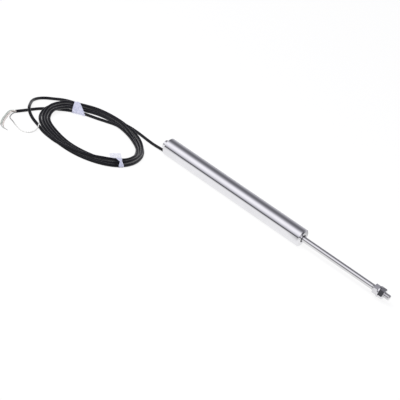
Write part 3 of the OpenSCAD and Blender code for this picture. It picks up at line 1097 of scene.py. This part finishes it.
@dataclass
class Studio:
    """Pale floor, soft light and the camera of the photograph."""

    azimuth: float = 25.62
    elevation: float = 25.36
    roll: float = 23.43
    distance: float = 1.25
    target: Point = (-0.0813, 0.0, -0.0212)
    lens: float = 108.09
    sensor: float = 36.0
    floor_size: float = 8.0
    floor_grey: float = 0.86
    floor_seen: float = 0.14
    floor_glow: float = 0.88
    # Metal mirrors a floor that grows darker away from the axis, sooner beside the rod.
    fade: float = 0.85
    fade_across: Pair = (0.035, 0.14)
    rod_middle: float = 0.065
    rod_beside: Pair = (0.032, 0.052)
    rod_sooner: float = 2.6
    # Metal mirrors a room that is darker at its ends, with these levels of grey from the near floor over the top.
    end_share: Pair = (0.5, 0.85)
    end_strength: float = 0.55
    room_stops: tuple[Pair, ...] = (
        (0.0, 0.05), (0.03, 0.10), (0.06, 0.38), (0.10, 0.65), (0.17, 0.97), (0.26, 1.18), (0.36, 1.07),
        (0.44, 0.60), (0.50, 0.31), (0.58, 0.18), (0.66, 0.18), (0.76, 0.30), (0.90, 0.56), (1.0, 0.75),
    )
    lamp_aim: Point = (-0.04, -0.03, 0.0)

    def camera(self) -> None:
        """Sets the camera at the photograph's viewing angle."""
        azimuth, elevation, roll = (math.radians(a) for a in (self.azimuth, self.elevation, self.roll))
        back = Vector((
            math.sin(azimuth) * math.cos(elevation),
            -math.cos(azimuth) * math.cos(elevation),
            math.sin(elevation),
        ))
        level = Vector((math.cos(azimuth), math.sin(azimuth), 0.0))
        rise = back.cross(level)
        right = math.cos(roll) * level + math.sin(roll) * rise
        up = -math.sin(roll) * level + math.cos(roll) * rise
        eye = Vector(self.target) + back * self.distance
        data = bpy.data.cameras.new("view")
        data.lens = self.lens
        data.sensor_width = self.sensor
        camera = bpy.data.objects.new("view", data)
        turn = Matrix((right, up, back)).transposed().to_4x4()
        camera.matrix_world = Matrix.Translation(eye) @ turn
        bpy.context.scene.collection.objects.link(camera)
        bpy.context.scene.camera = camera

    def near_floor(self, recipe: Recipe, mirrored: Socket) -> Socket:
        """Lets the floor grow darker away from the axis where metal mirrors it, sooner beside the thin rod.

        Args:
            recipe: Material of the floor.
            mirrored: Socket that is 1 for rays that metal mirrors.

        Returns:
            The socket with the share of its glow that is left.
        """
        place = recipe.parts()
        aside = recipe.reckon("ABSOLUTE", recipe.reckon("SUBTRACT", place["X"], self.rod_middle))
        sooner = recipe.spread(aside, self.rod_sooner, 1.0, self.rod_beside)
        reach = recipe.reckon("MULTIPLY", recipe.reckon("ABSOLUTE", place["Y"]), sooner)
        loss = recipe.reckon("MULTIPLY", recipe.spread(reach, 0.0, self.fade, self.fade_across), mirrored)
        return recipe.reckon("SUBTRACT", 1.0, loss)

    def floor(self) -> None:
        """Lays the floor, which is white to the camera and keeps the object's shadow."""
        Bench.clear_selection()
        bpy.ops.mesh.primitive_plane_add(size=self.floor_size, location=(0, 0, 0))
        floor = Bench.take("floor")
        recipe = Recipe("pale_floor")
        recipe.set("Roughness", 0.9)
        recipe.set("Specular IOR Level", 0.1)
        recipe.set("Emission Color", (1.0, 1.0, 1.0, 1.0))
        path = recipe.node("LightPath").outputs
        seen = recipe.reckon("MAXIMUM", path["Is Camera Ray"], path["Is Glossy Ray"])
        left = self.near_floor(recipe, path["Is Glossy Ray"])
        recipe.feed(recipe.reckon("MULTIPLY", recipe.spread(seen, 0.0, self.floor_glow), left), "Emission Strength")
        recipe.feed(recipe.ramp(seen, (self.floor_grey,) * 3, (self.floor_seen,) * 3, (0.0, 1.0)), "Base Color")
        floor.data.materials.append(recipe.material)

    @staticmethod
    def room_tint(grey: float) -> tuple[float, ...]:
        """Colour of the room at a level of grey: slightly blue, more so where it is dark."""
        return (grey, 0.99 * grey, (1.105 - 0.065 * grey) * grey, 1.0)

    def sky(self) -> None:
        """Makes the room: white to the camera, and to metal a bright side, a darker ceiling and darker ends."""
        world = bpy.data.worlds.new("room")
        bpy.context.scene.world = world
        world.use_nodes = True
        room = Nodes(world.node_tree)
        way = room.parts("Generated")
        seen = room.node("LightPath").outputs["Is Camera Ray"]
        angle = room.reckon("ARCTAN2", way["Z"], room.reckon("MULTIPLY", way["Y"], -1.0))
        ramp = room.node("ValToRGB")
        room.link(room.reckon("DIVIDE", angle, math.pi), ramp.inputs["Fac"])
        elements = ramp.color_ramp.elements
        while len(elements) < len(self.room_stops):
            elements.new(0.5)
        for element, (at, grey) in zip(elements, self.room_stops):
            element.position = at
            element.color = self.room_tint(grey)
        mix = room.node("Mix")
        mix.data_type = "RGBA"
        mix.inputs["B"].default_value = (1.0, 1.0, 1.0, 1.0)
        room.link(seen, mix.inputs["Factor"])
        room.link(ramp.outputs["Color"], mix.inputs["A"])
        ends = room.spread(room.reckon("ABSOLUTE", way["X"]), 1.0, self.end_strength, self.end_share)
        glow = room.tree.nodes["Background"]
        room.link(mix.outputs["Result"], glow.inputs["Color"])
        room.link(room.reckon("MAXIMUM", ends, seen), glow.inputs["Strength"])

    def lamp(self, name: str, place: Point, size: Pair, power: float) -> None:
        """Hangs one soft lamp that faces the object.

        Args:
            name: Name of the lamp.
            place: Where it hangs.
            size: Its width and height.
            power: Its power in watts.
        """
        data = bpy.data.lights.new(name, "AREA")
        data.shape = "RECTANGLE"
        data.size, data.size_y = size
        data.energy = power
        lamp = bpy.data.objects.new(name, data)
        lamp.location = place
        lamp.visible_glossy = False
        aim = Vector(self.lamp_aim) - Vector(place)
        lamp.rotation_euler = aim.to_track_quat("-Z", "Y").to_euler()
        bpy.context.scene.collection.objects.link(lamp)

    def build(self) -> None:
        """Sets up the whole studio."""
        bpy.context.scene.view_settings.view_transform = "Standard"
        self.camera()
        self.floor()
        self.sky()
        self.lamp("softbox", (-0.3, -1.1, 1.5), (1.6, 0.9), 22.0)


FAR_TIE = TapeTie(
    name="far_tape",
    node="far_tape_tie",
    turn=151.3,
    widths=(4.6, 5.2, 14.0),
    waist=(0.25, 1.05),
    flag=((159.5, 48.2), (142.5, 48.2), (159.0, 46.9), (141.6, 42.1)),
    drape=3.3,
    others=((61.4, 4.6), (49.0, 1.65)),
)
NEAR_TIE = TapeTie(
    name="near_tape",
    node="near_tape_tie",
    turn=-18.8,
    widths=(6.2, 3.0, 6.6),
    waist=(0.3, 0.62),
    flag=((-26.0, 48.4), (-8.0, 48.4), (-14.3, 32.0), (9.0, 35.8)),
)
CONDUCTORS = (
    Conductor("white_wire", "white_conductor", "white_insulation", (
        (-113.9, -115.9, 1.1), (-113.6, -119.2, 0.8), (-111.0, -126, 0.6), (-107.6, -130.6, 0.6),
        (-101.1, -133.1, 0.6), (-92, -136.8, 0.6), (-86.1, -138.2, 0.6), (-81.9, -137, 0.6),
        (-79.2, -133.3, 0.6), (-78.5, -127.6, 0.9), (-79.2, -121.5, 2.2), (-81.6, -116.8, 3.6), (-84.6, -113, 4.0),
    )),
    Conductor("grey_wire", "grey_conductor", "grey_insulation", (
        (-115.2, -115.9, 1), (-116.2, -120, 0.8), (-114, -127.3, 0.6), (-111, -133.2, 0.6),
        (-107.4, -139.8, 0.6), (-103.3, -145.8, 0.6), (-99.5, -150.6, 0.6), (-95.6, -154, 0.6), (-92.4, -153.6, 0.6),
    )),
    Conductor("green_wire", "green_conductor", "green_insulation", (
        (-115.3, -115.9, 2.25), (-117.4, -120.4, 1.7), (-115.2, -128, 0.7), (-112.1, -133.9, 0.6),
        (-108.5, -140.5, 0.6), (-104.4, -146.5, 0.6), (-100.8, -151.2, 0.6),
    )),
    Conductor("red_wire", "red_conductor", "red_insulation", (
        (-113.9, -115.9, 2.3), (-115.1, -120, 2.3), (-112.9, -126.8, 1.1), (-109.9, -132.5, 0.6),
        (-106.3, -139.1, 0.6), (-102.2, -145.1, 0.6), (-98.6, -149.5, 0.6), (-96.5, -151.4, 0.6),
    )),
)


def main() -> None:
    """Builds the studio and every piece."""
    logging.basicConfig(level=logging.INFO, format="%(name)s: %(message)s")
    Studio().build()
    wardrobe = Wardrobe()
    wardrobe.dress_solids()
    ties = [tie.build(wardrobe) for tie in (FAR_TIE, NEAR_TIE)]
    Cable().build(wardrobe, ties)
    for conductor in CONDUCTORS:
        conductor.build(wardrobe)
    PushRod().build(wardrobe)


if __name__ == "__main__":
    main()
